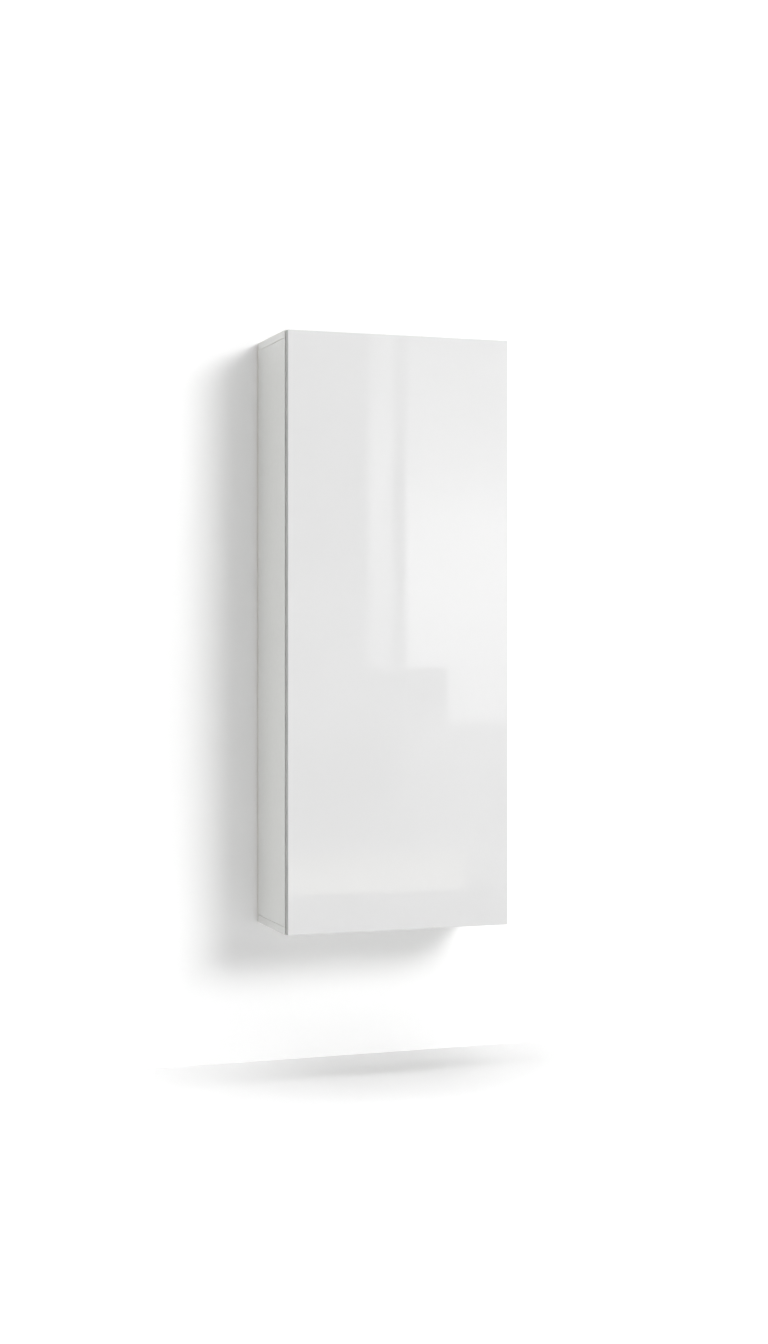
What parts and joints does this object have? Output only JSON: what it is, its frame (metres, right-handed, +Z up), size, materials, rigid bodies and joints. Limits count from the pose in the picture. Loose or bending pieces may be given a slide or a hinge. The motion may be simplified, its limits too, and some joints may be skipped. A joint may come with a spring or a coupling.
{
  "type": "wall-hung cabinet",
  "caption": "Tall narrow wall-hung cabinet with one plain gloss door, concealed hinges, push-to-open latch, loose shelves and a steel hanging rail.",
  "frame": {"origin": "middle of the wall rail's back face, on the wall", "axes": "+Z up, +Y into the wall, -Y out to the room where the door faces, +X to the right as seen from the front"},
  "size_m": [0.47, 0.218, 1.2],
  "materials": {
    "door_lacquer": "high-gloss white lacquer on MDF",
    "carcass_board": "white melamine-faced chipboard, fine texture",
    "shelf_board": "white melamine-faced chipboard, fine texture",
    "back_board": "white-faced hardboard",
    "zinc_steel": "zinc plated",
    "nickel": "nickel plated, satin",
    "cam_zinc": "die-cast zinc, plain",
    "hanger_plastic": "white moulded plastic",
    "latch_grey": "grey moulded plastic",
    "latch_white": "white moulded plastic"
  },
  "bodies": {
    "carcass": {"side_panel_left": "carcass_board", "side_panel_right": "carcass_board", "top_panel": "carcass_board", "bottom_panel": "carcass_board", "back_panel": "back_board", "wall_rail": "zinc_steel", "hanger_left": "hanger_plastic", "hanger_right": "hanger_plastic", "hanger_hook_left": "zinc_steel", "hanger_hook_right": "zinc_steel", "hanger_screw_height_left": "nickel", "hanger_screw_height_right": "nickel", "hanger_screw_depth_left": "nickel", "hanger_screw_depth_right": "nickel", "cam_lock_bottom_left_front": "cam_zinc", "cam_lock_bottom_left_back": "cam_zinc", "cam_lock_top_left_front": "cam_zinc", "cam_lock_top_left_back": "cam_zinc", "cam_lock_bottom_right_front": "cam_zinc", "cam_lock_bottom_right_back": "cam_zinc", "cam_lock_top_right_front": "cam_zinc", "cam_lock_top_right_back": "cam_zinc", "shelf_pin_lower_left_front": "nickel", "shelf_pin_lower_left_back": "nickel", "shelf_pin_lower_right_front": "nickel", "shelf_pin_lower_right_back": "nickel", "shelf_pin_middle_left_front": "nickel", "shelf_pin_middle_left_back": "nickel", "shelf_pin_middle_right_front": "nickel", "shelf_pin_middle_right_back": "nickel", "shelf_pin_upper_left_front": "nickel", "shelf_pin_upper_left_back": "nickel", "shelf_pin_upper_right_front": "nickel", "shelf_pin_upper_right_back": "nickel", "hinge_bottom_arm": "nickel", "hinge_bottom_plate": "nickel", "hinge_middle_arm": "nickel", "hinge_middle_plate": "nickel", "hinge_top_arm": "nickel", "hinge_top_plate": "nickel", "latch_housing": "latch_grey"},
    "door": {"door_panel": "door_lacquer", "hinge_bottom_cup": "nickel", "hinge_middle_cup": "nickel", "hinge_top_cup": "nickel", "strike_plate": "nickel"},
    "outer_links": {"hinge_bottom_outer_link": "nickel", "hinge_middle_outer_link": "nickel", "hinge_top_outer_link": "nickel"},
    "inner_links": {"hinge_bottom_inner_link": "nickel", "hinge_middle_inner_link": "nickel", "hinge_top_inner_link": "nickel"},
    "plunger": {"latch_plunger": "latch_white", "latch_magnet": "nickel"},
    "lower_shelf": {"shelf_lower": "shelf_board"},
    "middle_shelf": {"shelf_middle": "shelf_board"},
    "upper_shelf": {"shelf_upper": "shelf_board"}
  },
  "joints": [
    {"name": "door_swing", "type": "hinge", "parent": "carcass", "child": "door", "pos_m": [0.2264, -0.2139, -0.558], "axis": [0, 0, 1], "range_deg": [0, 95]},
    {"name": "outer_link_swing", "type": "hinge", "parent": "carcass", "child": "outer_links", "pos_m": [0.2005, -0.2065, -0.558], "axis": [0, 0, 1], "range_deg": [-26.6, 0]},
    {"name": "inner_link_swing", "type": "hinge", "parent": "carcass", "child": "inner_links", "pos_m": [0.207, -0.2085, -0.558], "axis": [0, 0, 1], "range_deg": [-32.3, 0]},
    {"name": "plunger_slide", "type": "slide", "parent": "carcass", "child": "plunger", "axis": [0, -1, 0], "range_m": [0, 0.0357]},
    {"name": "lower_shelf_lift", "type": "slide", "parent": "carcass", "child": "lower_shelf", "axis": [0, 0, 1], "range_m": [0, 0.025]},
    {"name": "middle_shelf_lift", "type": "slide", "parent": "carcass", "child": "middle_shelf", "axis": [0, 0, 1], "range_m": [0, 0.025]},
    {"name": "upper_shelf_lift", "type": "slide", "parent": "carcass", "child": "upper_shelf", "axis": [0, 0, 1], "range_m": [0, 0.025]}
  ],
  "couplings": [
    {"joint": "outer_link_swing", "follows": "door_swing", "ratio": -0.28},
    {"joint": "inner_link_swing", "follows": "door_swing", "ratio": -0.34},
    {"joint": "plunger_slide", "follows": "door_swing", "m_per_rad": 0.0215}
  ]
}
